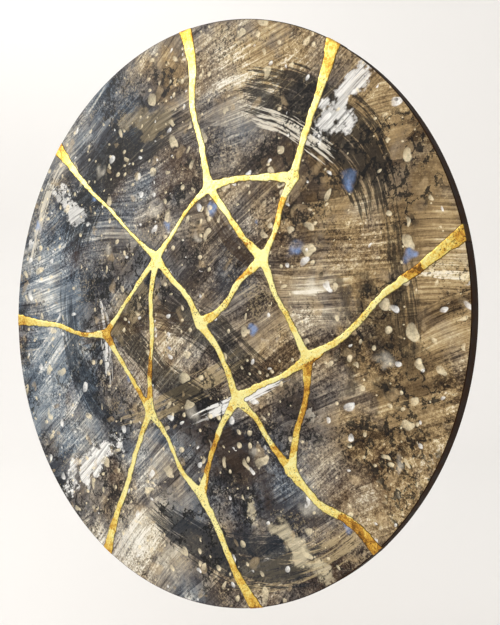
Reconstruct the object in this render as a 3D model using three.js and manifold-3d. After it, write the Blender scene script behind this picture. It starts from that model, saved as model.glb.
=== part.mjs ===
// A round wall panel in the manner of kintsugi: a painted board, with gilded seams across its face.
// Millimetres. The origin is the centre of the flat back, +Z is up, and the face looks along -Y.

import * as THREE from 'three';
import { mergeVertices } from 'three/addons/utils/BufferGeometryUtils.js';
import Module from 'manifold-3d';

// The board
const panelDiameter = 760;
const panelThickness = 19;
const arris = 1;
const rimFacets = 180;
const arcSteps = 12;

// The screw that it hangs on, and the room round it
const screwHeadDiameter = 9;
const screwHeadHeight = 5;
const screwShankDiameter = 4.5;
const headClearance = 1;
const shankClearance = 0.5;

// The keyhole slot in the back: how far its seat is below the top of the board,
// the wood that holds the screw's head, and how far the board drops onto the screw
const seatBelowTop = 110;
const keyholeLip = 4;
const keyholeDrop = 16;

// The gilded seams: widths along a run, where runs meet and at the edge of the board
const seamHeight = 0.6;
const runWidth = 7;
const runWidthSpread = 1.5;
const meetingWidth = 17;
const edgeWidth = 22;
const edgeWidthSpread = 5;
const meetingFlare = 20;
const edgeFlare = 60;

// A run bends at kinks, and its sides are a little ragged
const kinkSpacing = 85;
const kinkDepth = 8;
const raggedness = 0.7;
const samplePitch = 9.5;

// Over the edge a seam keeps clear of the board, and stops short of the back
const edgeGap = 0.3;
const backMargin = 1.5;

const panelRadius = panelDiameter / 2;
const outerRadius = panelRadius + edgeGap + seamHeight;

// Where the cracks meet, as shares of the board's radius, across and up
const meetings = {
  hub: [-0.17, 0.2],
  brow: [0.08, 0.43],
  chip: [0.43, 0.42],
  knot: [0.31, 0.17],
  nick: [0.04, -0.04],
  heel: [0.48, -0.15],
  toe: [0.42, -0.5],
  low: [0.2, -0.29],
  west: [-0.44, -0.08],
  fork: [-0.2, -0.36],
  foot: [0.05, -0.63],
};

// Each crack runs from one end to the other: a meeting, or degrees round the board's edge
const cracks = [
  [137, 'hub'],
  [92, 'brow'],
  [55, 'chip'],
  [12, 'heel'],
  [316, 'toe'],
  [287, 'foot'],
  [245, 'fork'],
  [181, 'west'],
  ['west', 'hub'],
  ['west', 'fork'],
  ['hub', 'fork'],
  ['hub', 'nick'],
  ['hub', 'brow'],
  ['brow', 'knot'],
  ['brow', 'chip'],
  ['chip', 'knot'],
  ['knot', 'nick'],
  ['knot', 'heel'],
  ['nick', 'low'],
  ['heel', 'low'],
  ['heel', 'toe'],
  ['low', 'toe'],
  ['low', 'foot'],
  ['fork', 'foot'],
];

const wasm = await Module();
wasm.setup();

// A closed three.js geometry as a solid that can be joined and cut
function solidOf(geometry) {
  const bare = geometry.clone();
  bare.deleteAttribute('normal');
  bare.deleteAttribute('uv');
  const merged = mergeVertices(bare, 1e-4);
  const corners = merged.index.array;
  const triangles = [];
  for (let i = 0; i < corners.length; i += 3) {
    const [a, b, c] = corners.slice(i, i + 3);
    // A turned profile's triangles collapse where it meets the axis
    if (a !== b && b !== c && c !== a) {
      triangles.push(a, b, c);
    }
  }
  return new wasm.Manifold(new wasm.Mesh({
    numProp: 3,
    vertProperties: new Float32Array(merged.attributes.position.array),
    triVerts: new Uint32Array(triangles),
  }));
}

function geometryOf(solid) {
  const mesh = solid.getMesh();
  const geometry = new THREE.BufferGeometry();
  geometry.setAttribute('position', new THREE.BufferAttribute(new Float32Array(mesh.vertProperties), 3));
  geometry.setIndex(new THREE.BufferAttribute(new Uint32Array(mesh.triVerts), 1));
  geometry.computeVertexNormals();
  return geometry;
}

// A profile of [radius, y] pairs, turned about the board's axis
function turned(profile) {
  const points = profile.map(([radius, y]) => new THREE.Vector2(radius, y));
  return solidOf(new THREE.LatheGeometry(points, rimFacets));
}

// A shape drawn as seen from the front, across and up, made solid from y = front to y = back
function cutOut(shape, front, back) {
  const settings = { depth: back - front, bevelEnabled: false, curveSegments: arcSteps };
  const geometry = new THREE.ExtrudeGeometry(shape, settings);
  geometry.rotateX(Math.PI / 2);
  geometry.translate(0, back, 0);
  return solidOf(geometry);
}

// An upright slot with round ends
function slotShape(width, low, high) {
  const shape = new THREE.Shape();
  shape.absarc(0, high, width / 2, 0, Math.PI, false);
  shape.absarc(0, low, width / 2, Math.PI, 2 * Math.PI, false);
  shape.closePath();
  return shape;
}

function discShape(centre, diameter) {
  const shape = new THREE.Shape();
  shape.absarc(centre.x, centre.y, diameter / 2, 0, 2 * Math.PI, false);
  return shape;
}

function makePanel() {
  const board = turned([
    [0, -panelThickness],
    [panelRadius - arris, -panelThickness],
    [panelRadius, arris - panelThickness],
    [panelRadius, -arris],
    [panelRadius - arris, 0],
    [0, 0],
  ]);
  const seat = panelRadius - seatBelowTop;
  const entry = seat - keyholeDrop;
  const headRoom = screwHeadDiameter + 2 * headClearance;
  const shankRoom = screwShankDiameter + 2 * shankClearance;
  const floor = -(keyholeLip + screwHeadHeight + headClearance);
  const past = 1;
  return board
    .subtract(cutOut(discShape(new THREE.Vector2(0, entry), headRoom), floor, past))
    .subtract(cutOut(slotShape(headRoom, entry, seat), floor, -keyholeLip))
    .subtract(cutOut(slotShape(shankRoom, entry, seat), floor, past));
}

// A number from -1 to 1 that is always the same for the same two whole numbers
function scatter(first, second) {
  const wave = Math.sin(first * 12.9898 + second * 78.233) * 43758.5453;
  return 2 * (wave - Math.floor(wave)) - 1;
}

function onEdge(end) {
  return typeof end === 'number';
}

// The place of a crack's end. At the edge it runs past the board, and is trimmed there
function placeOf(end) {
  if (onEdge(end)) {
    const angle = THREE.MathUtils.degToRad(end);
    return new THREE.Vector2(Math.cos(angle), Math.sin(angle)).multiplyScalar(outerRadius + edgeWidth / 4);
  }
  return new THREE.Vector2(...meetings[end]).multiplyScalar(panelRadius);
}

// A crack's line from end to end, bent a little at its kinks
function crackLine(crack, number) {
  const start = placeOf(crack[0]);
  const finish = placeOf(crack[1]);
  const along = finish.clone().sub(start);
  const across = new THREE.Vector2(-along.y, along.x).normalize();
  const stretches = 1 + Math.ceil(along.length() / kinkSpacing);
  const points = [start];
  for (let kink = 1; kink < stretches; kink += 1) {
    const turn = kinkDepth * scatter(number, kink);
    points.push(start.clone().addScaledVector(along, kink / stretches).addScaledVector(across, turn));
  }
  points.push(finish);
  return new THREE.SplineCurve(points);
}

// How much wider a seam is towards one of its ends
function flare(end, distance) {
  const width = onEdge(end) ? edgeWidth + edgeWidthSpread * scatter(end, 0) : meetingWidth;
  const reach = onEdge(end) ? edgeFlare : meetingFlare;
  return (width - runWidth) * Math.exp(-distance / reach);
}

// The outline of the gold laid along one crack
function seamShape(crack, number) {
  const line = crackLine(crack, number);
  const length = line.getLength();
  const steps = 1 + Math.ceil(length / samplePitch);
  const usualWidth = runWidth + runWidthSpread * scatter(number, 0);
  const left = [];
  const right = [];
  for (let step = 0; step <= steps; step += 1) {
    const share = step / steps;
    const point = line.getPointAt(share);
    const tangent = line.getTangentAt(share);
    const across = new THREE.Vector2(-tangent.y, tangent.x);
    const width = usualWidth + flare(crack[0], share * length) + flare(crack[1], (1 - share) * length);
    left.push(point.clone().addScaledVector(across, width / 2 + raggedness * scatter(number + 40, step)));
    right.push(point.clone().addScaledVector(across, -width / 2 + raggedness * scatter(number + 80, step)));
  }
  return new THREE.Shape([...left, ...right.reverse()]);
}

function makeSeams() {
  const front = -panelThickness - seamHeight;
  const shapes = cracks.map(seamShape);
  const pads = Object.keys(meetings).map((name) => discShape(placeOf(name), meetingWidth));
  const laid = [...shapes, ...pads].map((shape) => cutOut(shape, front, -panelThickness));
  const trim = turned([[0, front], [outerRadius, front], [outerRadius, 0], [0, 0]]);
  let gold = laid[0];
  for (const piece of laid.slice(1)) {
    gold = gold.add(piece);
  }
  gold = gold.intersect(trim);

  // Over the edge the same outlines go on down a thin ring round the board
  const ring = turned([
    [panelRadius + edgeGap, front],
    [outerRadius, front],
    [outerRadius, -backMargin],
    [panelRadius + edgeGap, -backMargin],
    [panelRadius + edgeGap, front],
  ]);
  cracks.forEach((crack, number) => {
    if (crack.some(onEdge)) {
      gold = gold.add(cutOut(shapes[number], front, -backMargin).intersect(ring));
    }
  });
  return gold;
}

const paintedBoard = new THREE.MeshStandardMaterial({ color: 0x4a4540, roughness: 0.42, metalness: 0 });
const goldLeaf = new THREE.MeshStandardMaterial({ color: 0xe8c65a, roughness: 0.34, metalness: 1 });

const panel = new THREE.Mesh(geometryOf(makePanel()), paintedBoard);
panel.name = 'panel';

const seams = new THREE.Mesh(geometryOf(makeSeams()), goldLeaf);
seams.name = 'kintsugi_seams';

const wallPanel = new THREE.Group();
wallPanel.add(panel, seams);

export default wallPanel;
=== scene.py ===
import math
from functools import partial
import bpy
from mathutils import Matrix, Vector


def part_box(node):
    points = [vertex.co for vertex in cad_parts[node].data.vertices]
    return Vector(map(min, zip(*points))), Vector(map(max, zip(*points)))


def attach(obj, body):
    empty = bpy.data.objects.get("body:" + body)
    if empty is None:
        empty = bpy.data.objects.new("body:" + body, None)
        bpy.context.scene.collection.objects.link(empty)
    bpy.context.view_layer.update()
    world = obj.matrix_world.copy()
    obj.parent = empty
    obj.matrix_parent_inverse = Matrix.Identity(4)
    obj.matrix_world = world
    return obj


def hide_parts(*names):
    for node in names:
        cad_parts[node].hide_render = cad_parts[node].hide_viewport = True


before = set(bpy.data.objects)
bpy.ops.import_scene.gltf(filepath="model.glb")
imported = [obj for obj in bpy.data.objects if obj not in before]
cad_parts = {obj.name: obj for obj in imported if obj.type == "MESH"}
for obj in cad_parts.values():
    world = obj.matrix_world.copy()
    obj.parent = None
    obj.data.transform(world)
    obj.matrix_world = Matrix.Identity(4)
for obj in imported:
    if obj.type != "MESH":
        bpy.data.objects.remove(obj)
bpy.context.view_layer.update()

from types import SimpleNamespace

import bmesh
import bpy
import numpy as np
from mathutils import Vector
from mathutils.geometry import delaunay_2d_cdt
from mathutils.kdtree import KDTree

MM = 0.001
QUARTER = math.pi / 2

# The board's own sizes, from the frame
board_low, board_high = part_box("panel")
seams_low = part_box("kintsugi_seams")[0]
RADIUS = (board_high.x - board_low.x) / 2
FACE = board_low.y
BACK = board_high.y
GOLD_HEIGHT = FACE - seams_low.y
ARRIS = 1.0 * MM
FLAT_RADIUS = RADIUS - ARRIS

# The photograph's view, round the middle of the painted face
VIEW_DISTANCE = 2.5535 * RADIUS
VIEW_AZIMUTH = math.radians(41.88)
VIEW_ELEVATION = math.radians(-1.13)
AIM_ACROSS = 0.2578 * RADIUS
AIM_UP = -0.0043 * RADIUS
FOCAL_PIXELS = 729.3
PICTURE_HEIGHT = 625

# What the random draws and the patterns of strokes and patches start from
SEED = 20

# Settings that come back: a Map Range that eases in and out, and a Mix of two colours
SOFT_ENDS = {"interpolation_type": "SMOOTHSTEP"}
OF_COLOURS = {"give": 2, "data_type": "RGBA"}


# Small helpers

def linear(hex_colour):
    """An sRGB hex colour as linear red, green, blue and alpha."""
    shares = [int(hex_colour[i:i + 2], 16) / 255 for i in (1, 3, 5)]
    return tuple(c / 12.92 if c <= 0.04045 else ((c + 0.055) / 1.055) ** 2.4 for c in shares) + (1.0,)


def per(size_mm):
    """The scale at which a texture laid out in metres has features of about that size."""
    return 1000 / size_mm


def add_to(tree, kind, inputs=None, give=0, **settings):
    """Adds a node with its settings, and gives one of its outputs. Inputs are values or links, by name or
    number. In a Map Range, 0 is the value, 1 and 2 the range that it comes from, and 3 and 4 the range
    that it goes to. In a Mix, 0 is the share, and 6 and 7 are the colours, or 2 and 3 the numbers."""
    node = tree.nodes.new(kind if kind.startswith("NodeGroup") else "ShaderNode" + kind)
    for name, value in settings.items():
        setattr(node, name, value)
    for key, value in (inputs or {}).items():
        if isinstance(value, bpy.types.NodeSocket):
            tree.links.new(value, node.inputs[key])
        else:
            node.inputs[key].default_value = value
    return node.outputs[give] if node.outputs else node


def new_material(name):
    """An empty material, and the call that adds to its tree."""
    material = bpy.data.materials.new(name)
    material.use_nodes = True
    material.node_tree.nodes.clear()
    return material, partial(add_to, material.node_tree)


def new_group(name, takes, gives):
    """An empty node group, the call that adds to it, its inputs by name, and what its outputs take."""
    group = bpy.data.node_groups.new(name, "ShaderNodeTree")
    for label, value in takes.items():
        kind = "NodeSocketVector" if isinstance(value, tuple) else "NodeSocketFloat"
        group.interface.new_socket(label, in_out="INPUT", socket_type=kind).default_value = value
    for label in gives:
        group.interface.new_socket(label, in_out="OUTPUT", socket_type="NodeSocketFloat")
    add = partial(add_to, group)
    entry = add("NodeGroupInput").node
    leave = add("NodeGroupOutput")
    return group, add, entry.outputs, leave.inputs


def nudge(add, place, size_mm, reach, **noise):
    """A move of up to about half the reach in each direction, which changes over that size."""
    push = add("TexNoise", {"Vector": place, "Scale": per(size_mm), **noise}, give="Color")
    push = add("VectorMath", {0: push, 1: (0.5, 0.5, 0.5)}, operation="SUBTRACT")
    return add("VectorMath", {0: push, "Scale": reach}, operation="SCALE")


def put(name, data):
    """A new object in the scene, made of that mesh, light or camera."""
    piece = bpy.data.objects.new(name, data)
    bpy.context.scene.collection.objects.link(piece)
    return piece


# Paint handling, as node groups that the painted face uses again and again

# Lengths of streaks, and widths of bristle marks and dabs, in a stroke and on the ground (millimetres)
STROKE_STREAK = 75
STROKE_BRISTLE = 4.5
GROUND_STREAK = 130
GROUND_BRISTLE = 4.2
GROUND_DAB = 17


def across_and_up(add, into):
    """How far a place is from the middle of a mark, across and up as the mark is turned."""
    local = add("VectorMath", {0: into["Place"], 1: into["Middle"]}, operation="SUBTRACT")
    turned = add("VectorRotate", {"Vector": local, "Angle": into["Turn"]}, rotation_type="Y_AXIS")
    across, _, up = add("SeparateXYZ", {0: turned}).node.outputs
    return across, up


def brush_stroke_group():
    """One loaded brush drawn along an arc: bristle marks that break up at its sides and ends."""
    takes = {"Place": (0.0, 0.0, 0.0), "Middle": (0.0, 0.0, 0.0), "Turn": 0.0, "Bend": 0.3,
             "Width": 0.02, "Reach": 0.1, "Load": 0.8, "Seed": 0.0}
    group, add, into, out = new_group("brush_stroke", takes, ["Cover"])
    across, up = across_and_up(add, into)
    angle = add("Math", {0: up, 1: across}, operation="ARCTAN2")
    flat = add("CombineXYZ", {0: across, 2: up})
    radius = add("VectorMath", {0: flat}, give="Value", operation="LENGTH")
    along = add("Math", {0: angle, 1: into["Bend"]}, operation="MULTIPLY")
    aside = add("Math", {0: radius, 1: into["Bend"]}, operation="SUBTRACT")
    bristle_place = add("CombineXYZ", {
        0: add("Math", {0: along, 1: per(STROKE_STREAK)}, operation="MULTIPLY"),
        1: add("Math", {0: aside, 1: per(STROKE_BRISTLE)}, operation="MULTIPLY"),
        2: into["Seed"]})
    bristles = add("TexNoise", {"Vector": bristle_place, "Scale": 1.0, "Detail": 4.0, "Roughness": 0.75})
    bristles = add("MapRange", {0: bristles, 1: 0.3, 2: 0.7, 3: 0.12, 4: 0.88}, clamp=False)

    # The paint gives out towards the sides and the ends
    given_out = []
    for distance, most in ((aside, into["Width"]), (along, into["Reach"])):
        share = add("Math", {0: distance, 1: most}, operation="DIVIDE")
        share = add("Math", {0: share}, operation="ABSOLUTE")
        given_out.append(add("Math", {0: share, 1: 3.0}, operation="POWER"))
    worn = add("Math", {0: given_out[0], 1: given_out[1]}, operation="ADD")
    worn = add("Math", {0: worn, 1: 0.55}, operation="MULTIPLY")
    held = add("Math", {0: into["Load"], 1: worn}, operation="SUBTRACT")
    paint = add("Math", {0: bristles, 1: held}, operation="ADD")
    cover = add("MapRange", {0: paint, 1: 0.95, 2: 1.09}, **SOFT_ENDS)
    group.links.new(cover, out["Cover"])
    return group


def torn_patch_group():
    """A patch of paint, soft or firm at its border, with the border torn by noise."""
    takes = {"Place": (0.0, 0.0, 0.0), "Middle": (0.0, 0.0, 0.0), "Turn": 0.0, "Width": 0.1,
             "Height": 0.1, "Tear": 0.5, "Grain": 20.0, "Soft": 0.3, "Seed": 0.0}
    group, add, into, out = new_group("torn_patch", takes, ["Cover"])
    across, up = across_and_up(add, into)
    flat = add("CombineXYZ", {
        0: add("Math", {0: across, 1: into["Width"]}, operation="DIVIDE"),
        2: add("Math", {0: up, 1: into["Height"]}, operation="DIVIDE")})
    from_middle = add("VectorMath", {0: flat}, give="Value", operation="LENGTH")
    noise = add("TexNoise", {
        "Vector": into["Place"], "W": into["Seed"], "Scale": into["Grain"],
        "Detail": 6.0, "Roughness": 0.62}, noise_dimensions="4D")
    tear = add("MapRange", {0: noise, 1: 0.3, 2: 0.7, 3: -1.0, 4: 1.0})
    tear = add("Math", {0: tear, 1: into["Tear"]}, operation="MULTIPLY")
    depth = add("Math", {0: tear, 1: from_middle}, operation="SUBTRACT")
    full = add("Math", {0: into["Soft"], 1: -1.0}, operation="ADD")
    cover = add("MapRange", {0: depth, 1: -1.0, 2: full}, **SOFT_ENDS)
    group.links.new(cover, out["Cover"])
    return group


def loose_dab_group():
    """Dabs and drops of paint, one in some of the cells of an uneven grid, and more of them small than
    large. Gives the thin body of each, fuller at one end, and the firmer edge round it."""
    takes = {"Place": (0.0, 0.0, 0.0), "Grid": 30.0, "Chance": 0.5, "Least": 0.002, "Most": 0.006,
             "Stretch": 1.0, "Waver": 0.01, "Soft": 0.14, "Seed": 0.0}
    group, add, into, out = new_group("loose_dab", takes, ["Body", "Edge"])
    push = nudge(add, into["Place"], 15, into["Waver"], Detail=0.5)
    place = add("VectorMath", {0: into["Place"], 1: push}, operation="ADD")
    across, _, up = add("SeparateXYZ", {0: place}).node.outputs
    flat = add("CombineXYZ", {
        0: add("Math", {0: across, 1: into["Seed"]}, operation="ADD"),
        1: add("Math", {0: up, 1: into["Seed"]}, operation="ADD")})
    cells = add("TexVoronoi", {"Vector": flat, "Scale": into["Grid"], "Randomness": 0.7},
                voronoi_dimensions="2D").node.outputs
    draw, largeness, spin = add("SeparateColor", {0: cells["Color"]}).node.outputs
    there = add("Math", {0: draw, 1: into["Chance"]}, operation="LESS_THAN")

    # Each dab is a stretched round, turned its own way about the middle of its cell
    local = add("VectorMath", {0: flat, 1: cells["Position"]}, operation="SUBTRACT")
    angle = add("Math", {0: spin, 1: math.pi}, operation="MULTIPLY")
    spun = add("VectorRotate", {"Vector": local, "Angle": angle}, rotation_type="Z_AXIS")
    stretch = add("CombineXYZ", {0: into["Stretch"], 1: 1.0})
    narrowed = add("VectorMath", {0: spun, 1: stretch}, operation="MULTIPLY")
    size = add("Math", {0: largeness, 1: 2.0}, operation="POWER")
    size = add("MapRange", {0: size, 3: into["Least"], 4: into["Most"]})
    from_middle = add("VectorMath", {0: narrowed}, give="Value", operation="LENGTH")
    share = add("Math", {0: from_middle, 1: size}, operation="DIVIDE")

    firm = add("Math", {0: 1.0, 1: into["Soft"]}, operation="SUBTRACT")
    body = add("MapRange", {0: share, 1: 1.0, 2: firm}, **SOFT_ENDS)
    _, lengthwise, _ = add("SeparateXYZ", {0: narrowed}).node.outputs
    end = add("Math", {0: lengthwise, 1: size}, operation="DIVIDE")
    loaded = add("MapRange", {0: end, 1: -0.9, 2: 0.4, 3: 0.25, 4: 1.0})
    body = add("Math", {0: body, 1: loaded}, operation="MULTIPLY")
    inner = add("MapRange", {0: share, 1: 0.55, 2: 0.85}, **SOFT_ENDS)
    edge = add("Math", {0: body, 1: inner}, operation="MULTIPLY")
    for part, output in ((body, "Body"), (edge, "Edge")):
        group.links.new(add("Math", {0: part, 1: there}, operation="MULTIPLY"), out[output])
    return group


# Paints, from near black to the palest, cool and warm
COOL = ((0.0, "#07080b"), (0.22, "#151a22"), (0.42, "#343e4b"), (0.58, "#5f6b78"), (0.74, "#88929a"),
        (0.88, "#bfc2c1"), (1.0, "#eeeeea"))
WARM = ((0.0, "#0a0705"), (0.22, "#23190f"), (0.42, "#503e28"), (0.58, "#7c6748"), (0.74, "#a58c64"),
        (0.88, "#ccb98f"), (1.0, "#f0e8d6"))
INK = "#0d0e10"
NAVY = "#1a2129"
BROWN = "#3a2a1c"
CREAM = "#e6dfce"
WHITE = "#f4f3ef"
SAND = "#b9a67f"
RUST = "#5e4229"
BLUE = "#7f9fd2"
TAN = "#cdb48a"
IVORY = "#f0e2be"

# Areas that are darker or paler, cooler or warmer: middle across and up and half sizes as shares of
# the radius, a turn in degrees, how torn and how soft, the size of the tearing in millimetres,
# and how far they shift the tone and the warmth
AREAS = (
    (-0.38, 0.56, 0.62, 0.3, 24, 0.45, 0.7, 90, -0.15, -0.25),
    (-0.8, -0.12, 0.26, 0.52, 8, 0.5, 0.6, 50, 0.12, -0.35),
    (0.22, -0.52, 0.58, 0.24, -28, 0.45, 0.55, 70, -0.16, -0.35),
    (0.7, 0.34, 0.32, 0.46, 28, 0.55, 0.7, 45, 0.08, 0.25),
    (0.3, 0.16, 0.34, 0.2, 10, 0.5, 0.6, 60, -0.14, 0.1),
    (-0.22, -0.18, 0.36, 0.22, 14, 0.5, 0.7, 50, 0.12, 0.35),
    (-0.16, -0.84, 0.52, 0.18, 6, 0.6, 0.6, 40, 0.2, 0.1),
    (0.82, -0.3, 0.18, 0.4, 18, 0.6, 0.6, 36, 0.12, 0.3),
    (0.1, 0.86, 0.46, 0.14, -6, 0.6, 0.6, 36, 0.12, 0.3),
)

# Brush strokes: the middle that each bends round, across and up, the radius of the bend, its turn in
# degrees, half width, half length (sizes as shares of the radius), load, how dense, and the paint
STROKES = (
    (0.0, 0.0, 0.7, 128, 0.11, 0.44, 0.8, 0.74, INK),
    (0.1, 0.1, 0.66, 48, 0.12, 0.42, 0.76, 0.84, INK),
    (-0.1, 0.1, 0.58, -150, 0.08, 0.4, 0.7, 0.7, NAVY),
    (0.05, -0.05, 0.74, 60, 0.045, 0.24, 0.6, 0.8, CREAM),
    (0.0, 0.0, 0.9, -62, 0.07, 0.36, 0.6, 0.7, SAND),
    (0.2, -0.1, 0.72, -92, 0.1, 0.4, 0.8, 0.84, NAVY),
    (0.0, 0.0, 0.94, 150, 0.04, 0.4, 0.58, 0.7, CREAM),
    (-0.9, 1.7, 2.16, -66, 0.06, 0.42, 0.62, 0.65, SAND),
    (0.6, 1.1, 1.5, -122, 0.07, 0.4, 0.74, 0.8, INK),
    (-1.7, -0.4, 1.3, 14, 0.035, 0.22, 0.62, 0.75, WHITE),
    (0.0, 0.0, 0.83, 6, 0.06, 0.3, 0.6, 0.7, INK),
    (-0.6, -1.4, 1.5, 62, 0.08, 0.34, 0.74, 0.74, INK),
    (1.5, 1.4, 1.76, -138, 0.05, 0.3, 0.62, 0.7, BROWN),
    (-0.2, -2.4, 2.36, 92, 0.06, 0.4, 0.64, 0.7, BROWN),
    (0.9, -2.0, 1.86, 112, 0.03, 0.26, 0.66, 0.85, WHITE),
)

# Small patches of thicker paint with torn borders: the first eight values as in the areas, then how
# dense, and the paint
TORN = (
    (0.6, 0.62, 0.15, 0.045, 38, 1.1, 0.4, 26, 0.9, WHITE),
    (-0.66, 0.42, 0.12, 0.045, -52, 1.1, 0.45, 24, 0.75, WHITE),
    (0.44, -0.74, 0.2, 0.045, -28, 1.2, 0.6, 26, 0.55, IVORY),
    (-0.54, -0.6, 0.18, 0.06, 40, 1.2, 0.35, 24, 1.0, WHITE),
    (-0.2, 0.72, 0.2, 0.05, -14, 1.2, 0.6, 30, 0.4, SAND),
    (0.72, -0.06, 0.14, 0.16, 20, 1.0, 0.45, 22, 0.6, INK),
    (-0.3, 0.02, 0.2, 0.07, 30, 1.2, 0.6, 26, 0.4, SAND),
    (0.14, -0.46, 0.3, 0.1, -30, 1.0, 0.6, 30, 0.6, BROWN),
)

# Dabs and drops: the grid they fall in, their chance, least and most half length, how much longer than
# wide, how uneven (all sizes in millimetres), how soft, how dense their body and edge are, and the paint
DABS = (
    (90, 0.34, 10, 22, 1.0, 26, 0.95, 0.6, 0.0, CREAM),
    (72, 0.18, 9, 16, 1.4, 24, 0.95, 0.9, 0.0, BLUE),
    (44, 0.44, 6, 15, 1.6, 22, 0.5, 0.4, 0.85, TAN),
    (32, 0.44, 3.2, 11, 1.6, 16, 0.3, 0.74, 1.0, IVORY),
    (28, 0.26, 2.4, 8.5, 1.5, 12, 0.3, 0.95, 1.0, WHITE),
    (16, 0.26, 1.4, 5.5, 1.3, 6, 0.4, 0.95, 0.95, IVORY),
    (19, 0.1, 1.2, 6, 1.4, 9, 0.4, 0.9, 0.95, INK),
)

# Steps between the seeds of neighbouring rows, so that no two rows have one pattern
STROKE_STEP = 3.7
TORN_STEP = 2.3
DAB_STEP = 0.41


def with_paints(ramp, stops):
    """The same colour ramp with a row of paints along it, each at its own share of the way."""
    steps = ramp.node.color_ramp.elements
    steps.remove(steps[-1])
    for number, (share, paint) in enumerate(stops):
        step = steps.new(share) if number else steps[0]
        step.position = share
        step.color = linear(paint)
    return ramp


def paint_handling(add):
    """How the brush was handled from place to place, as patterns that all the coats share."""
    place = add("TexCoord", give="Object")

    # Nothing runs quite straight
    swept = add("VectorMath", {0: place, 1: nudge(add, place, 190, 44 * MM, Detail=1.0)}, operation="ADD")
    clouds = add("TexNoise", {"Vector": swept, "Scale": per(120), "Detail": 5.0, "Roughness": 0.58})
    handling, temper, grit = add("SeparateColor", {0: clouds.node.outputs["Color"]}).node.outputs

    # Marks of a wide brush: each patch was brushed its own way, and laps over the next with a ragged side
    fray = nudge(add, place, 26, 30 * MM, Detail=4.0, Roughness=0.7)
    frayed = add("VectorMath", {0: swept, 1: fray}, operation="ADD")
    patches = add("TexVoronoi", {"Vector": frayed, "Scale": per(230)}, give="Color")
    lean, shade, dryness = add("SeparateColor", {0: patches}).node.outputs
    lean = add("MapRange", {0: lean, 3: math.radians(-4), 4: math.radians(58)})
    slanting = add("VectorRotate", {"Vector": swept, "Angle": lean}, rotation_type="Y_AXIS")
    drawn_out, dabbed_out = (
        add("VectorMath", {0: slanting, 1: (per(GROUND_STREAK), 1.0, per(width))}, operation="MULTIPLY")
        for width in (GROUND_BRISTLE, GROUND_DAB))
    drag = add("TexNoise", {"Vector": drawn_out, "Scale": 1.0, "Detail": 5.0, "Roughness": 0.78})
    single_dabs = add("TexVoronoi", {"Vector": dabbed_out, "Scale": 1.0}, give="Color")

    # Where the brush was drawn out and where it was dabbed, and how grainy and how dry the paint was
    brushed = add("MapRange", {0: handling, 1: 0.44, 2: 0.56, 3: 0.3}, **SOFT_ENDS)
    grained = add("MapRange", {0: grit, 1: 0.42, 2: 0.58, 3: 0.22}, **SOFT_ENDS)
    dabbed = add("MapRange", {0: brushed, 3: 1.0, 4: 0.2})
    dry = add("MapRange", {0: dryness, 1: 0.3, 2: 0.8, 3: 0.2, 4: 1.0})
    return SimpleNamespace(
        place=place, swept=swept, clouds=clouds, handling=handling, temper=temper, grit=grit, shade=shade,
        drag=drag, single_dabs=add("SeparateColor", {0: single_dabs}), brushed=brushed, grained=grained,
        dabbed=add("Math", {0: dabbed, 1: grained}, operation="MULTIPLY"),
        streaked=add("Math", {0: dry, 1: brushed}, operation="MULTIPLY"),
        mottles=add("TexNoise", {"Vector": swept, "Scale": per(11), "Detail": 6.0, "Roughness": 0.78}),
        stipple=add("TexNoise", {"Vector": place, "Scale": per(3.0), "Detail": 3.0, "Roughness": 0.85}),
        stroke=brush_stroke_group(), patch=torn_patch_group(), dab=loose_dab_group())


def patch_cover(add, hand, row, seed):
    """Where a torn patch of paint covers, from the first eight values of its row."""
    middle, up, width, height, turn, tear, soft, grain = row
    return add("Group", {
        "Place": hand.swept, "Middle": (middle * RADIUS, 0.0, up * RADIUS), "Turn": math.radians(turn),
        "Width": width * RADIUS, "Height": height * RADIUS, "Tear": tear, "Grain": per(grain),
        "Soft": soft, "Seed": seed}, node_tree=hand.patch)


def ground_colour(add, hand):
    """How pale and how warm the paint is, from clouds, single dabs, bristle marks and broad areas, and the
    colour that this gives."""
    tone = add("MapRange", {0: hand.clouds, 1: 0.3, 2: 0.7, 3: 0.37, 4: 0.78}, clamp=False)
    shift = add("MapRange", {0: hand.shade, 3: -0.05, 4: 0.05})
    tone = add("Math", {0: shift, 1: tone}, operation="ADD")
    for texture, low, high, strength, mask in (
            (hand.single_dabs, 0.0, 1.0, 0.12, 1.0),
            (hand.drag, 0.3, 0.7, 0.30, hand.brushed),
            (hand.mottles, 0.3, 0.7, 0.38, hand.dabbed),
            (hand.stipple, 0.3, 0.7, 0.28, hand.grained)):
        shift = add("MapRange", {0: texture, 1: low, 2: high, 3: -strength, 4: strength}, clamp=False)
        tone = add("Math", {0: shift, 1: mask, 2: tone}, operation="MULTIPLY_ADD")
    across = add("SeparateXYZ", {0: hand.place})
    warmth = add("MapRange", {0: across, 1: -RADIUS, 2: RADIUS, 3: 0.12, 4: 0.98})
    shift = add("MapRange", {0: hand.temper, 1: 0.3, 2: 0.7, 3: -0.4, 4: 0.4})
    warmth = add("Math", {0: warmth, 1: shift}, operation="ADD")
    for number, (*patch, paler, warmer) in enumerate(AREAS):
        cover = patch_cover(add, hand, patch, SEED + number)
        tone = add("Math", {0: cover, 1: paler, 2: tone}, operation="MULTIPLY_ADD")
        warmth = add("Math", {0: cover, 1: warmer, 2: warmth}, operation="MULTIPLY_ADD")
    cool, warm = (with_paints(add("ValToRGB", {0: tone}), stops) for stops in (COOL, WARM))
    return add("Mix", {0: warmth, 6: cool, 7: warm}, **OF_COLOURS)


# Each of these gives coats over the ground, in their order: how much each covers, and its paint

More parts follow.
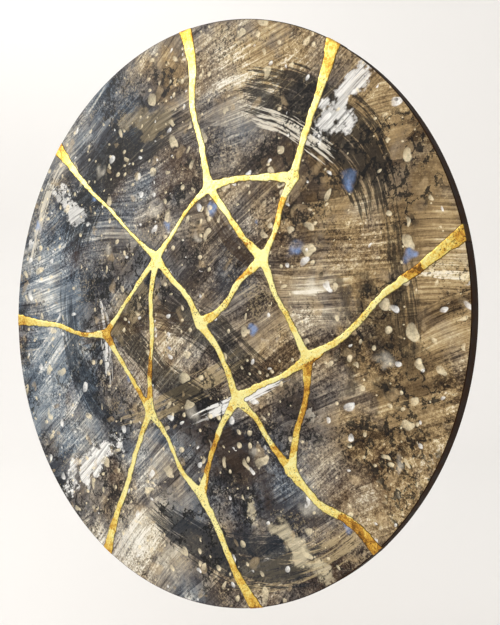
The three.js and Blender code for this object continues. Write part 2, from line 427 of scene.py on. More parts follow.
def thin_coats(add, hand):
    """Rust showing through here and there, and salt-like stipple, pale in some places and dark in others."""
    yield add("MapRange", {0: hand.grit, 1: 0.56, 2: 0.70, 4: 0.4}), RUST
    field = add("TexNoise", {"Vector": hand.swept, "Scale": per(80), "Detail": 5.0, "Roughness": 0.6})
    inverse = add("Math", {0: 1.0, 1: hand.stipple}, operation="SUBTRACT")
    for grains, sign, dense, paint in ((hand.stipple, 1, 0.40, SAND), (inverse, -1, 0.75, INK)):
        least = add("MapRange", {0: field, 1: 0.5 - 0.03 * sign, 2: 0.5 + 0.16 * sign, 3: 0.68, 4: 0.50})
        above = add("Math", {0: grains, 1: least}, operation="SUBTRACT")
        yield add("MapRange", {0: above, 1: 0.0, 2: 0.05, 4: dense}, **SOFT_ENDS), paint


def stroke_coats(add, hand):
    """Single strokes of a loaded brush."""
    for number, (middle, up, bend, turn, width, reach, load, dense, paint) in enumerate(STROKES):
        cover = add("Group", {
            "Place": hand.swept, "Middle": (middle * RADIUS, 0.0, up * RADIUS), "Turn": math.radians(turn),
            "Bend": bend * RADIUS, "Width": width * RADIUS, "Reach": reach * RADIUS, "Load": load,
            "Seed": STROKE_STEP * number + SEED}, node_tree=hand.stroke)
        yield add("Math", {0: cover, 1: dense}, operation="MULTIPLY"), paint


def torn_coats(add, hand):
    """Torn patches of thicker paint, in which the bristle marks of the ground still show."""
    for number, (*patch, dense, paint) in enumerate(TORN):
        cover = patch_cover(add, hand, patch, TORN_STEP * number + SEED)
        thick = add("MapRange", {0: hand.drag, 1: 0.40, 2: 0.54, 3: 0.4 * dense, 4: dense})
        yield add("Math", {0: cover, 1: thick}, operation="MULTIPLY"), paint


def dry_coats(add, hand):
    """Dark paint in the hollows of the bristle marks and mottles, and pale paint dragged over their tops."""
    for texture, mask in ((hand.drag, hand.streaked), (hand.mottles, hand.dabbed)):
        for least, most, dense, paint in ((0.42, 0.36, 0.70, INK), (0.58, 0.66, 0.6, SAND)):
            dry = add("MapRange", {0: texture, 1: least, 2: most, 4: dense})
            yield add("Math", {0: dry, 1: mask}, operation="MULTIPLY"), paint


def crept_coats(add, hand):
    """Ink that has crept along fine wavering lines where the brush was dabbed."""
    creep = add("TexNoise", {"Vector": hand.swept, "Scale": per(30), "Detail": 6.0, "Roughness": 0.62})
    creep = add("Math", {0: creep, 1: 0.5}, operation="SUBTRACT")
    creep = add("Math", {0: creep}, operation="ABSOLUTE")
    wide = add("MapRange", {0: hand.mottles, 1: 0.42, 2: 0.62, 3: 0.002, 4: 0.05})
    line = add("Math", {0: creep, 1: wide}, operation="SUBTRACT")
    line = add("MapRange", {0: line, 1: 0.006, 2: -0.006, 4: 0.9})
    where = add("MapRange", {0: hand.handling, 1: 0.50, 2: 0.44}, **SOFT_ENDS)
    yield add("Math", {0: line, 1: where}, operation="MULTIPLY"), INK


def flung_coats(add, hand):
    """Dabs and flung drops, many in some places and few in others, with the stipple's grain in them."""
    grain = add("MapRange", {0: hand.stipple, 1: 0.40, 2: 0.56, 3: 0.65})
    flung = add("MapRange", {0: hand.temper, 1: 0.40, 2: 0.60, 3: 0.2, 4: 1.8})
    for number, (grid, chance, least, most, longer, waver, soft, thin, firm, paint) in enumerate(DABS):
        body = add("Group", {
            "Place": hand.place, "Grid": per(grid),
            "Chance": add("Math", {0: flung, 1: chance}, operation="MULTIPLY"),
            "Least": least * MM, "Most": most * MM, "Stretch": longer, "Waver": waver * MM, "Soft": soft,
            "Seed": DAB_STEP * number}, node_tree=hand.dab)
        body_cover = add("Math", {0: body, 1: thin}, operation="MULTIPLY")
        edge_cover = add("Math", {0: body.node.outputs["Edge"], 1: firm}, operation="MULTIPLY")
        laid = add("Math", {0: body_cover, 1: edge_cover}, operation="MAXIMUM")
        yield add("Math", {0: laid, 1: grain}, operation="MULTIPLY"), paint


def painted_face():
    """Acrylic brushed, dragged and dripped on in thin coats, under satin varnish: clouded darks with
    broken pale strokes over them, and a soft even sheen that follows the brush marks a little."""
    material, add = new_material("brushed_acrylic_under_satin_varnish")
    hand = paint_handling(add)
    colour = ground_colour(add, hand)
    for coats in (thin_coats, stroke_coats, torn_coats, dry_coats, crept_coats, flung_coats):
        for cover, paint in coats(add, hand):
            colour = add("Mix", {0: cover, 6: colour, 7: linear(paint)}, **OF_COLOURS)
    rough = add("MapRange", {0: hand.drag, 1: 0.3, 2: 0.7, 3: 0.42, 4: 0.58})
    relief = add("Bump", {"Height": hand.drag, "Strength": 0.35, "Distance": 0.25 * MM})
    shader = add("BsdfPrincipled", {
        "Base Color": colour, "Roughness": rough, "Normal": relief,
        "Coat Weight": 0.02, "Coat Roughness": 0.3, "Specular IOR Level": 0.12})
    add("OutputMaterial", {"Surface": shader})
    return material


def edge_paint():
    """Dark brown acrylic rolled on the sawn edge: nearly even and nearly matt, with faint clouds and the
    fine grain of the roller."""
    material, add = new_material("rolled_brown_acrylic")
    place = add("TexCoord", give="Object")
    mottle = add("TexNoise", {"Vector": place, "Scale": per(14), "Detail": 5.0, "Roughness": 0.65})
    grain = add("TexNoise", {"Vector": place, "Scale": per(1.6), "Detail": 2.0})
    tone = add("MapRange", {0: mottle, 1: 0.35, 2: 0.65})
    colour = add("Mix", {0: tone, 6: linear("#1a0c03"), 7: linear("#2e1a09")}, **OF_COLOURS)
    rough = add("MapRange", {0: mottle, 1: 0.35, 2: 0.65, 3: 0.6, 4: 0.8})
    relief = add("Bump", {"Height": grain, "Strength": 0.3, "Distance": 0.12 * MM})
    shader = add("BsdfPrincipled", {
        "Base Color": colour, "Roughness": rough, "Normal": relief, "Specular IOR Level": 0.08})
    add("OutputMaterial", {"Surface": shader})
    return material


def bare_board():
    """Medium-density fibreboard, pressed and sealed: an even tan with fibre flecks, and no grain. Real
    fibres are too fine to show here, so the flecks are drawn coarser."""
    material, add = new_material("pressed_fibreboard")
    place = add("TexCoord", give="Object")
    clouds = add("TexNoise", {"Vector": place, "Scale": per(120), "Detail": 4.0})
    flecks = add("TexNoise", {"Vector": place, "Scale": per(2.2), "Detail": 4.0, "Roughness": 0.7})
    tone = add("MapRange", {0: clouds, 1: 0.35, 2: 0.65})
    colour = add("Mix", {0: tone, 6: linear("#a3835f"), 7: linear("#b59670")}, **OF_COLOURS)
    fleck = add("MapRange", {0: flecks, 1: 0.56, 2: 0.7, 4: 0.6})
    colour = add("Mix", {0: fleck, 6: colour, 7: linear("#7d6040")}, **OF_COLOURS)
    relief = add("Bump", {"Height": flecks, "Strength": 0.25, "Distance": 0.1 * MM})
    shader = add("BsdfPrincipled", {"Base Color": colour, "Roughness": 0.72, "Normal": relief})
    add("OutputMaterial", {"Surface": shader})
    return material


# Leaf from its palest to where it is thin over the brown paste, and the paste, bare and then darker still as
# painted shade over the edge
LEAF = ((0.0, "#f7efa8"), (0.3, "#efdb7c"), (0.55, "#dcb24c"), (0.8, "#b98236"), (1.0, "#6d4f28"))
PASTE = "#3c2510"
SHADED_EDGE_PASTE = "#271505"


def gold_leaf():
    """Loose gold leaf laid by hand on a low line of size and paste: bright and pale on the face, deeper on
    some leaves and towards the rim, with fine wrinkles, pin holes down to the dark paste, and a dark foot.
    Over the edge of the board it is painted near-black brown and not metallic, as painted shade."""
    material, add = new_material("hand_laid_gold_leaf")
    place = add("TexCoord", give="Object")
    fray = nudge(add, place, 7, 14 * MM, Detail=3.0, Roughness=0.7)
    frayed = add("VectorMath", {0: place, 1: fray}, operation="ADD")
    leaves = add("TexVoronoi", {"Vector": frayed, "Scale": per(40)}, give="Color")
    wrinkles = add("TexNoise", {
        "Vector": place, "Scale": per(4.2), "Detail": 4.0, "Roughness": 0.75, "Distortion": 1.2})
    clouds = add("TexNoise", {"Vector": place, "Scale": per(24), "Detail": 4.0, "Roughness": 0.62})
    from_centre = add("VectorMath", {0: place}, give="Value", operation="LENGTH")
    depth = add("MapRange", {0: add("SeparateColor", {0: leaves}), 1: 0.74, 2: 1.0, 3: 0.12, 4: 0.70})
    for texture, low, high, least, most in (
            (clouds, 0.35, 0.65, -0.22, 0.22),
            (wrinkles, 0.38, 0.62, -0.22, 0.22),
            (from_centre, 0.78 * RADIUS, RADIUS, 0.0, 0.42)):
        shift = add("MapRange", {0: texture, 1: low, 2: high, 3: least, 4: most})
        depth = add("Math", {0: depth, 1: shift}, operation="ADD")
    colour = with_paints(add("ValToRGB", {0: depth}), LEAF)

    # Pin holes, more of them where the leaf is rubbed, and the ragged foot of each side
    holes = add("TexNoise", {"Vector": place, "Scale": per(2.4), "Detail": 3.0, "Roughness": 0.7})
    rubbed = add("TexNoise", {"Vector": place, "Scale": per(45), "Detail": 2.0})
    least = add("MapRange", {0: rubbed, 1: 0.42, 2: 0.62, 3: 0.67, 4: 0.55})
    above = add("Math", {0: holes, 1: least}, operation="SUBTRACT")
    hole = add("MapRange", {0: above, 1: 0.0, 2: 0.05})
    from_side = add("Attribute", give="Fac", attribute_name="from_side")
    uneven = add("MapRange", {0: holes, 3: -1.2, 4: 1.2})
    ragged = add("Math", {0: from_side, 1: uneven}, operation="ADD")
    foot = add("MapRange", {0: ragged, 1: 1.3, 2: 0.4}, **SOFT_ENDS)
    bared = add("Math", {0: hole, 1: foot}, operation="MAXIMUM")
    share = add("Math", {0: bared, 1: 0.85}, operation="MULTIPLY")
    colour = add("Mix", {0: share, 6: colour, 7: linear(PASTE)}, **OF_COLOURS)

    # Where it has turned over the edge: painted shade, a near-black brown with no metal
    _, deep, _ = add("SeparateXYZ", {0: place}).node.outputs
    turned = add("MapRange", {0: deep, 1: FACE + 0.3 * MM, 2: FACE + 1.2 * MM, 4: 0.96})
    colour = add("Mix", {0: turned, 6: colour, 7: linear(SHADED_EDGE_PASTE)}, **OF_COLOURS)
    bared = add("Math", {0: bared, 1: turned}, operation="MAXIMUM")
    metal = add("MapRange", {0: bared, 3: 1.0, 4: 0.0})
    rough = add("MapRange", {0: wrinkles, 1: 0.3, 2: 0.7, 3: 0.3, 4: 0.5})
    rough = add("Mix", {0: turned, 2: rough, 3: 0.75}, data_type="FLOAT")
    relief = add("Bump", {"Height": wrinkles, "Strength": 0.6, "Distance": 0.3 * MM})
    shader = add("BsdfPrincipled", {
        "Base Color": colour, "Metallic": metal, "Roughness": rough, "Normal": relief,
        "Specular IOR Level": 0.1})
    add("OutputMaterial", {"Surface": shader})
    return material


# The board: a turned profile with eased corners, and the keyhole slot cut in its back

BOARD_SIDES = 360
CORNER_STEPS = 5
SUPPORT = 0.6 * MM
SMOOTH_UP_TO = math.radians(35)

# What is nearer than this is one point
WELD = 0.001 * MM

# The keyhole slot: its seat and entry on the centre line, and its widths and depths
SEAT = RADIUS - 110 * MM
DROP = 16 * MM
HEAD_ROOM = 11 * MM
SHANK_ROOM = 5.5 * MM
LIP = 4 * MM
SLOT_DEPTH = 10 * MM
SLOT_STEPS = 16

# Where the parts lie on the board's square map: middle across and up and scale of the front, the back
# and the slot, and four rows with a quarter of the edge each
MAP_FRONT = (0.395, 0.605, 0.39)
MAP_BACK = (0.82, 0.18, 0.17)
MAP_SLOT = (0.84, 0.6, 3)
MAP_ROW_START = 0.01
MAP_ROW_LENGTH = 0.62
MAP_ROW_PITCH = 0.035

# How near and how square a face must be to a flat of the board to be a part of it
NEAR = 0.1 * MM
SQUARELY = 0.9


def board_profile():
    """Radius and depth from the face, round the edge, to the back. Extra rings beside each corner keep
    its shading to itself."""
    turns = [QUARTER * step / CORNER_STEPS for step in range(CORNER_STEPS + 1)]
    front = [(FLAT_RADIUS + ARRIS * math.sin(a), FACE + ARRIS * (1 - math.cos(a))) for a in turns]
    rear = [(FLAT_RADIUS + ARRIS * math.cos(a), BACK - ARRIS * (1 - math.sin(a))) for a in turns]
    return [(FLAT_RADIUS - SUPPORT, FACE), *front, (RADIUS, FACE + ARRIS + SUPPORT),
            (RADIUS, BACK - ARRIS - SUPPORT), *rear, (FLAT_RADIUS - SUPPORT, BACK)]


def turned_mesh(profile, sides):
    """Points and faces of a profile turned about the board's axis and closed on it at both ends."""
    points = [(0.0, profile[0][1], 0.0), (0.0, profile[-1][1], 0.0)]
    for side in range(sides):
        angle = 2 * math.pi * side / sides
        points += [(r * math.cos(angle), y, r * math.sin(angle)) for r, y in profile]
    count = len(profile)
    faces = []
    for side in range(sides):
        here = 2 + side * count
        there = 2 + (side + 1) % sides * count
        faces.append((0, there, here))
        faces += [(here + k, there + k, there + k + 1, here + k + 1) for k in range(count - 1)]
        faces.append((1, here + count - 1, there + count - 1))
    return points, faces


def upright_slot(name, width, low, high, front, back):
    """A closed solid with round ends, standing on the centre line."""
    radius = width / 2
    arc = [(radius * math.cos(math.pi * k / SLOT_STEPS), radius * math.sin(math.pi * k / SLOT_STEPS))
           for k in range(SLOT_STEPS + 1)]
    outline = [(x, high + z) for x, z in arc] + [(-x, low - z) for x, z in arc]
    if high == low:
        # A full round has no straight sides, so its halves share their ends
        outline = outline[:SLOT_STEPS] + outline[SLOT_STEPS + 1:-1]
    count = len(outline)
    points = [(x, front, z) for x, z in outline] + [(x, back, z) for x, z in outline]
    faces = [tuple(range(count)), tuple(reversed(range(count, 2 * count)))]
    faces += [(k, k + count, (k + 1) % count + count, (k + 1) % count) for k in range(count)]
    mesh = bpy.data.meshes.new(name)
    mesh.from_pydata(points, [], faces)
    mesh.validate()
    return put(name, mesh)


def keyhole_cutters():
    """The entry for the screw's head, its channel behind the lip, and the neck for its shank."""
    entry = SEAT - DROP
    floor = BACK - SLOT_DEPTH
    past = BACK + 2 * MM
    return [
        upright_slot("cut_entry", HEAD_ROOM, entry, entry, floor, past),
        upright_slot("cut_channel", HEAD_ROOM, entry, SEAT, floor, BACK - LIP),
        upright_slot("cut_neck", SHANK_ROOM, entry, SEAT, floor, past),
    ]


def make_board():
    """The board with its slot, and its painted face, painted edge and bare back."""
    mesh = bpy.data.meshes.new("painted_board")
    points, faces = turned_mesh(board_profile(), BOARD_SIDES)
    mesh.from_pydata(points, [], faces)
    board = put("painted_board", mesh)
    cutters = keyhole_cutters()
    for cutter in cutters:
        cut = board.modifiers.new("keyhole", "BOOLEAN")
        cut.operation = "DIFFERENCE"
        cut.solver = "EXACT"
        cut.object = cutter
    shaped = bpy.data.meshes.new_from_object(board.evaluated_get(bpy.context.evaluated_depsgraph_get()))
    board.modifiers.clear()
    board.data = shaped
    shaped.name = "painted_board"
    for cutter in cutters:
        bpy.data.objects.remove(cutter)
    work = bmesh.new()
    work.from_mesh(shaped)
    bmesh.ops.remove_doubles(work, verts=work.verts, dist=WELD)
    bmesh.ops.dissolve_degenerate(work, edges=work.edges, dist=WELD)
    work.to_mesh(shaped)
    work.free()
    shaped.materials.clear()
    for finish in (painted_face(), edge_paint(), bare_board()):
        shaped.materials.append(finish)
    lay_out_board(shaped)
    shaped.shade_smooth()
    shaped.set_sharp_from_angle(angle=SMOOTH_UP_TO)
    return board


def edge_spot(x, y, z, row):
    """Where a place on the edge lies on the map: along its row by its turn, and up by its depth."""
    turn = math.atan2(z, x) - row * QUARTER
    turn = (turn + math.pi) % (2 * math.pi) - math.pi
    side = 1 if y < (FACE + BACK) / 2 else -1
    down = (y - FACE) + (FLAT_RADIUS - math.hypot(x, z)) * side
    depth_scale = MAP_ROW_LENGTH / (QUARTER * RADIUS)
    return (MAP_ROW_START + turn / QUARTER * MAP_ROW_LENGTH,
            MAP_ROW_START + row * MAP_ROW_PITCH + (down + ARRIS) * depth_scale)


def flat_spot(x, z, part):
    """Where a place on the front or the back lies on the map."""
    across, up, scale = part
    return across + x / RADIUS * scale, up + z / RADIUS * scale


def slot_spot(x, y, z, normal):
    """Where a place in the slot lies on the map, with its walls leaning outwards, clear of its floor."""
    across, up, scale = MAP_SLOT
    return across + (x + y * normal.x) * scale, up + (z - SEAT + y * normal.z) * scale


def lay_out_board(mesh):
    """Gives each face its material, and a map with the painted front as large as it goes."""
    layer = mesh.uv_layers.new(name="OFBake")
    front, edge, back = range(3)
    for face in mesh.polygons:
        middle = face.center
        if math.hypot(middle.x, middle.z) > FLAT_RADIUS:
            face.material_index = edge
        elif face.normal.y < -SQUARELY and middle.y < FACE + NEAR:
            face.material_index = front
        else:
            face.material_index = back
        row = int((math.atan2(middle.z, middle.x) % (2 * math.pi)) / QUARTER)
        for corner in face.loop_indices:
            x, y, z = mesh.vertices[mesh.loops[corner].vertex_index].co
            if face.material_index == edge:
                spot = edge_spot(x, y, z, row)
            elif face.material_index == front:
                spot = flat_spot(x, z, MAP_FRONT)
            elif y > BACK - NEAR and face.normal.y > SQUARELY:
                spot = flat_spot(x, z, MAP_BACK)
            else:
                spot = slot_spot(x, y, z, face.normal)
            layer.data[corner].uv = spot


# The gold: the outlines of the laid seams, carried over the edge, filled with a fine mesh and raised

# The step along a side, and the sizes and strengths of its unevenness, after its corners are eased
SIDE_STEP = 1.0 * MM
SIDE_EASE = 1.8 * MM
UNEVENNESS = ((1.2 * MM, 0.42 * MM), (4 * MM, 0.60 * MM))

# The grid of even triangles that fills the gold, how near it may come to a side, and where it makes way
# for the closer rows that turn the corner of the board
GRID = 1.5 * MM
ROW_SHARE = 0.866
SIDE_MARGIN = 0.55 * MM
TURN_BEFORE = 0.6 * GRID
TURN_AFTER = 2.2 * MM
TURN_ROWS = (0, 0.33, 0.67, 1)

# The width of the rounded side, the gap under the gold, and how far it stops short of the back
SHOULDER = 1.7 * MM
FOOT = 0.02 * MM
BACK_MARGIN = 2.2 * MM

# The faint ripple of the top: its height in millimetres, and its waves, each by its radians a metre
# across and up, and its start
RIPPLE_HEIGHT = 0.09
RIPPLES = (((410.0, 160.0), 0.3), ((-190.0, 370.0), 1.9), ((690.0, -520.0), 4.2))

# How many points are looked up in the outline at a time
POINTS_AT_ONCE = 400

# The solid's outline runs this far past the board, at the least, where it goes over the edge
PAST_RIM = 0.6 * MM
FOLD_STEPS = 6

# Scales of the gold and of its hidden underside on their map, and the middle of the underside
MAP_GOLD = 0.495
MAP_UNDERSIDE = 0.065
MAP_UNDERSIDE_MIDDLE = 0.07


def seam_outlines():
    """The outlines of the gold on the face, as closed loops of points across and up."""
    work = bmesh.new()
    work.from_mesh(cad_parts["kintsugi_seams"].data)
    bmesh.ops.remove_doubles(work, verts=work.verts, dist=WELD)
    for face in work.faces:
        face.select = face.normal.y < -0.99 and face.calc_center_median().y < FACE - GOLD_HEIGHT / 2
    following = {}
    for face in work.faces:
        for corner in face.loops:
            if face.select and not all(other.select for other in corner.edge.link_faces):
                following[corner.vert] = corner.link_loop_next.vert
    loops = []
    while following:
        first, after = following.popitem()
        loop = [first]
        while after is not first:
            loop.append(after)
            after = following.pop(after)
        loops.append(np.array([(vert.co.x, vert.co.z) for vert in loop]))
    work.free()
    return loops


def carried_over(loop, reach):
    """The outline with each end at the rim drawn out, so that it can be folded over the edge."""
    at_rim = np.hypot(*loop.T) > RADIUS + PAST_RIM
    if not at_rim.any():
        return loop
    start = int(np.flatnonzero(~at_rim)[0])
    loop, at_rim = np.roll(loop, -start, axis=0), np.roll(at_rim, -start)
    made = []
    here = 0
    while here < len(loop):
        made.append(loop[here])
        if not at_rim[here]:
            here += 1
            continue
        last = here
        while last + 1 < len(loop) and at_rim[last + 1]:
            last += 1
        begin, end = (math.atan2(loop[k][1], loop[k][0]) for k in (here, last))
        turn = (end - begin + math.pi) % (2 * math.pi) - math.pi
        for step in range(FOLD_STEPS + 1):
            angle = begin + turn * step / FOLD_STEPS
            made.append(np.array([math.cos(angle), math.sin(angle)]) * reach)
        made.append(loop[last])
        here = last + 1
    return np.array(made)


def eased(values, frequency, size):
    """Values along a closed line, smoothed over that size."""
    kept = np.exp(-2 * (np.pi * size * frequency[:, None]) ** 2)
    return np.fft.ifft(np.fft.fft(values, axis=0) * kept, axis=0).real


def hand_cut(loop, chance):
    """The outline at an even step, its corners eased and its sides a little uneven."""
    closed = np.vstack([loop, loop[:1]])
    lengths = np.r_[0, np.cumsum(np.hypot(*np.diff(closed, axis=0).T))]
    count = int(lengths[-1] / SIDE_STEP)
    at = np.linspace(0, lengths[-1], count, endpoint=False)
    points = np.stack([np.interp(at, lengths, closed[:, k]) for k in (0, 1)], 1)
    frequency = np.fft.fftfreq(count, lengths[-1] / count)
    points = eased(points, frequency, SIDE_EASE)
    ahead = np.roll(points, -1, axis=0) - np.roll(points, 1, axis=0)
    normal = np.stack([ahead[:, 1], -ahead[:, 0]], 1) / np.hypot(*ahead.T)[:, None]
    uneven = 0
    for size, strength in UNEVENNESS:
        wander = eased(chance.normal(size=(count, 1)), frequency, size)
        uneven = uneven + wander * strength * (size / SIDE_STEP) ** 0.5
    return points + normal * uneven


def inside(points, outline):
    """Which points lie inside the outline, by counting crossings."""
    starts, ends = outline
    found = np.zeros(len(points), bool)
    order = np.argsort(points[:, 1], kind="stable")
    for chunk in np.array_split(order, max(1, len(order) // POINTS_AT_ONCE)):
        if not len(chunk):
            continue
        low, high = points[chunk, 1].min(), points[chunk, 1].max()
        near = np.minimum(starts[:, 1], ends[:, 1]) <= high
        near &= np.maximum(starts[:, 1], ends[:, 1]) >= low
        begin, end = starts[near], ends[near]
        x, z = points[chunk, 0][:, None], points[chunk, 1][:, None]
        spans = (begin[:, 1] > z) != (end[:, 1] > z)
        rise = np.where(end[:, 1] == begin[:, 1], 1e-12, end[:, 1] - begin[:, 1])
        crossing = begin[:, 0] + (z - begin[:, 1]) / rise * (end[:, 0] - begin[:, 0])
        found[chunk] = (spans & (crossing > x)).sum(1) % 2 == 1
    return found


def fill_points(outline, reach):
    """The points that fill the outline, and how far each is from a side."""
    starts, ends = outline
    limit = reach + GRID
    along = np.arange(-limit, limit, GRID)
    rows = np.arange(-limit, limit, GRID * ROW_SHARE)
    grid = np.vstack([np.stack([along + (k % 2) * GRID / 2, np.full(len(along), row)], 1)
                      for k, row in enumerate(rows)])
    out = np.hypot(*grid.T)
    turning = (out > FLAT_RADIUS - TURN_BEFORE) & (out < FLAT_RADIUS + TURN_AFTER)
    around = np.arange(0, 2 * math.pi, GRID / RADIUS)
    ring = np.stack([np.cos(around), np.sin(around)], 1)
    rings = [ring * (FLAT_RADIUS + share * QUARTER * ARRIS) for share in TURN_ROWS]
    points = np.vstack([grid[(out < reach) & ~turning], *rings])
    points = points[inside(points, outline)]
    sides = KDTree(len(starts) * 2)
    for k, (across, up) in enumerate(np.vstack([starts, (starts + ends) / 2])):
        sides.insert((across, up, 0), k)
    sides.balance()
    from_side = np.array([sides.find((across, up, 0))[2] for across, up in points])
    keep = from_side > SIDE_MARGIN
    return points[keep], from_side[keep]


def filled(loops, outline, points):
    """The outline filled with triangles: the corners, the triangles, and which of the outline's and then
    the other points each corner was."""
    edges = []
    first = 0
    for loop in loops:
        count = len(loop)
        edges += [(first + k, first + (k + 1) % count) for k in range(count)]
        first += count
    flat = [Vector(point) for point in np.vstack([outline[0], points])]
    corners, _, triangles, origins, _, _ = delaunay_2d_cdt(flat, edges, [], 0, 1e-7)
    corners = np.array([tuple(corner) for corner in corners])
    source = np.array([origin[0] if origin else 0 for origin in origins])
    triangles = np.array(triangles)
    triangles = triangles[inside(corners[triangles].mean(1), outline)]

    # A triangle with all its corners on the outline would have no thickness
    triangles = triangles[~(source[triangles] < first).all(1)]
    used, triangles = np.unique(triangles, return_inverse=True)
    return corners[used], triangles.reshape(-1, 3), source[used]


def over_the_edge(points, height):
    """Places flat points on the face, round the corner and down the edge, raised by height."""
    out = np.hypot(*points.T)
    outward = points / np.maximum(out, 1e-9)[:, None]
    past = out - FLAT_RADIUS
    turn = np.clip(past / ARRIS, 0, QUARTER)
    radius = np.where(past < 0, out, FLAT_RADIUS + (ARRIS + height) * np.sin(turn))
    depth = FACE + ARRIS - (ARRIS + height) * np.cos(turn) + np.maximum(past - QUARTER * ARRIS, 0)
    return np.stack([outward[:, 0] * radius, depth, outward[:, 1] * radius], 1)


def lay_out_gold(mesh, flat, under, reach):
    """A map with the gold as it was before it was folded, and its hidden underside small in a corner."""
    layer = mesh.uv_layers.new(name="OFBake")
    places = np.zeros((len(mesh.vertices), 2))
    places[under] = flat
    places[:len(flat)] = flat
    corners = np.zeros(len(mesh.loops), int)
    mesh.loops.foreach_get("vertex_index", corners)
    below = np.repeat(np.arange(len(mesh.polygons)) >= len(mesh.polygons) // 2, 3)
    spots = places[corners] / reach
    spots = np.where(below[:, None], MAP_UNDERSIDE_MIDDLE + spots * MAP_UNDERSIDE, 0.5 + spots * MAP_GOLD)
    layer.data.foreach_set("uv", spots.astype(np.float32).ravel())


def make_gold():
    """The laid gold as one closed skin: its top, rounded down to its sides, and its flat underside."""
    chance = np.random.default_rng(SEED)
    reach = FLAT_RADIUS + QUARTER * ARRIS + (BACK - FACE) - ARRIS - BACK_MARGIN
    loops = [hand_cut(carried_over(loop, reach), chance) for loop in seam_outlines()]
    starts = np.vstack(loops)
    outline = (starts, np.vstack([np.roll(loop, -1, axis=0) for loop in loops]))
    points, from_side = fill_points(outline, reach)
    flat, triangles, source = filled(loops, outline, points)
    from_side = np.r_[np.zeros(len(starts)), from_side][source]
    on_side = source < len(starts)

    rise = np.clip(from_side / SHOULDER, 0, 1)
    height = FOOT + (GOLD_HEIGHT - FOOT) * np.sqrt(1 - (1 - rise) ** 2)
    ripple = sum(np.sin(flat @ np.array(wave) + start) for wave, start in RIPPLES)
    height += rise * ripple / len(RIPPLES) * RIPPLE_HEIGHT * MM
    top = over_the_edge(flat, height)
    base = over_the_edge(flat, np.full(len(flat), FOOT))

    # The underside shares the points of the sides with the top, and has the others to itself
    under = np.where(on_side, np.arange(len(flat)), len(flat) + np.cumsum(~on_side) - 1)
    points = np.vstack([top, base[~on_side]])
    faces = np.vstack([triangles, under[triangles][:, ::-1]])
    mesh = bpy.data.meshes.new("laid_gold")
    mesh.from_pydata(points.tolist(), [], faces.tolist())
    mesh.validate()
    work = bmesh.new()
    work.from_mesh(mesh)
    bmesh.ops.recalc_face_normals(work, faces=work.faces)
    work.to_mesh(mesh)
    work.free()

    # How far from a side each point is, in millimetres, for the finish
    layer = mesh.attributes.new("from_side", "FLOAT", "POINT")
    values = np.r_[from_side, np.zeros(len(points) - len(flat))] / MM
    layer.data.foreach_set("value", values.astype(np.float32))
    mesh.materials.append(gold_leaf())
    lay_out_gold(mesh, flat, under, reach)
    mesh.shade_smooth()
    return put("laid_gold", mesh)


# Stage, light and camera, in metres

FLOOR_LEVEL = -0.62
FLOOR_RADIUS = 2.7
SWEEP = 1.3
SWEEP_RINGS = 20
WALL_TOP = 2.4
STAGE_SIDES = 96

# Name, place, what it points at, width, height, power in watts, and colour
LIGHTS = (
    ("window", (-2.0, -1.5, 1.4), (0, 0, 0), 1.8, 1.8, 37, "#fffaf2"),
    ("fill", (1.6, -2.4, 1.0), (0, 0, 0), 2.0, 2.0, 18, "#f8f9ff"),
    ("backdrop_wash", (-2.4, 1.0, 3.2), (-3.2, 2.6, 0.2), 2.4, 1.2, 30, "#fffdf8"),
)
ROOM_COLOUR = "#f4f2ef"
ROOM_STRENGTH = 0.88


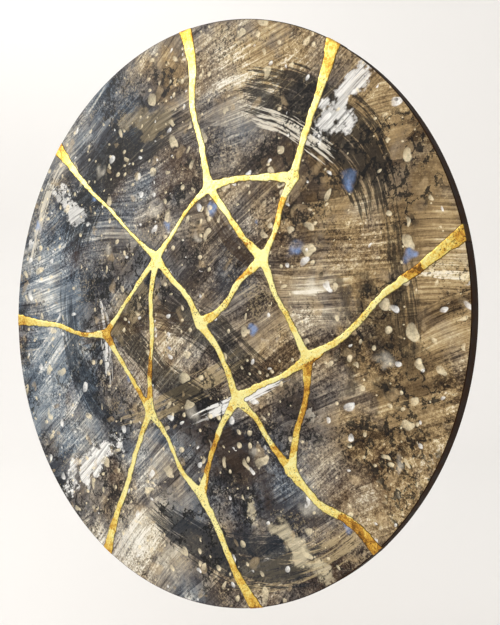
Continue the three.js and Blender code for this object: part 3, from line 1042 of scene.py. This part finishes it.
def make_stage():
    """A pale round floor that sweeps up into a plain low wall all round, well away from the object."""
    profile = [(FLOOR_RADIUS + SWEEP * math.sin(a), FLOOR_LEVEL + SWEEP * (1 - math.cos(a)))
               for a in np.linspace(0, QUARTER, SWEEP_RINGS)]
    profile.append((FLOOR_RADIUS + SWEEP, WALL_TOP))
    turns = [2 * math.pi * side / STAGE_SIDES for side in range(STAGE_SIDES)]
    points = [(r * math.cos(a), r * math.sin(a), z) for r, z in profile for a in turns]
    faces = [tuple(range(STAGE_SIDES))]
    for row in range(len(profile) - 1):
        low, high = row * STAGE_SIDES, (row + 1) * STAGE_SIDES
        faces += [(low + k, high + k, high + (k + 1) % STAGE_SIDES, low + (k + 1) % STAGE_SIDES)
                  for k in range(STAGE_SIDES)]
    mesh = bpy.data.meshes.new("stage")
    mesh.from_pydata(points, [], faces)
    mesh.shade_smooth()

    # Paper with no coating, even and pale, which takes soft shadows and shows no sheen
    material, add = new_material("matt_paper")
    shader = add("BsdfPrincipled", {"Base Color": linear("#eeedec"), "Roughness": 0.9})
    add("OutputMaterial", {"Surface": shader})
    mesh.materials.append(material)
    put("stage", mesh)


def make_lights():
    """An even pale room with soft rectangular lamps, each pointed at its aim."""
    world = bpy.data.worlds.new("soft_room")
    world.use_nodes = True
    world.node_tree.nodes.clear()
    add = partial(add_to, world.node_tree)
    room = add("Background", {"Color": linear(ROOM_COLOUR), "Strength": ROOM_STRENGTH})
    add("OutputWorld", {"Surface": room})
    bpy.context.scene.world = world
    for name, place, aim, width, height, power, colour in LIGHTS:
        data = bpy.data.lights.new(name, "AREA")
        data.shape = "RECTANGLE"
        data.size, data.size_y = width, height
        data.energy = power
        data.color = linear(colour)[:3]
        light = put(name, data)
        light.location = place
        light.rotation_euler = (Vector(aim) - Vector(place)).to_track_quat("-Z", "Y").to_euler()
    bpy.context.scene.view_settings.view_transform = "Standard"


def make_camera():
    """The camera at the photograph's place, looking a little to the right of the board's middle."""
    data = bpy.data.cameras.new("camera")
    data.lens = FOCAL_PIXELS / PICTURE_HEIGHT * data.sensor_width
    camera = put("camera", data)
    level = VIEW_DISTANCE * math.cos(VIEW_ELEVATION)
    place = Vector((level * math.sin(VIEW_AZIMUTH), FACE - level * math.cos(VIEW_AZIMUTH),
                    VIEW_DISTANCE * math.sin(VIEW_ELEVATION)))
    aim = Vector((AIM_ACROSS, FACE, AIM_UP))
    camera.location = place
    camera.rotation_euler = (aim - place).to_track_quat("-Z", "Y").to_euler()
    bpy.context.scene.camera = camera


make_camera()
make_stage()
make_lights()

board = make_board()
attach(board, "root")
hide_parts("panel")

gold = make_gold()
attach(gold, "root")
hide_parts("kintsugi_seams")
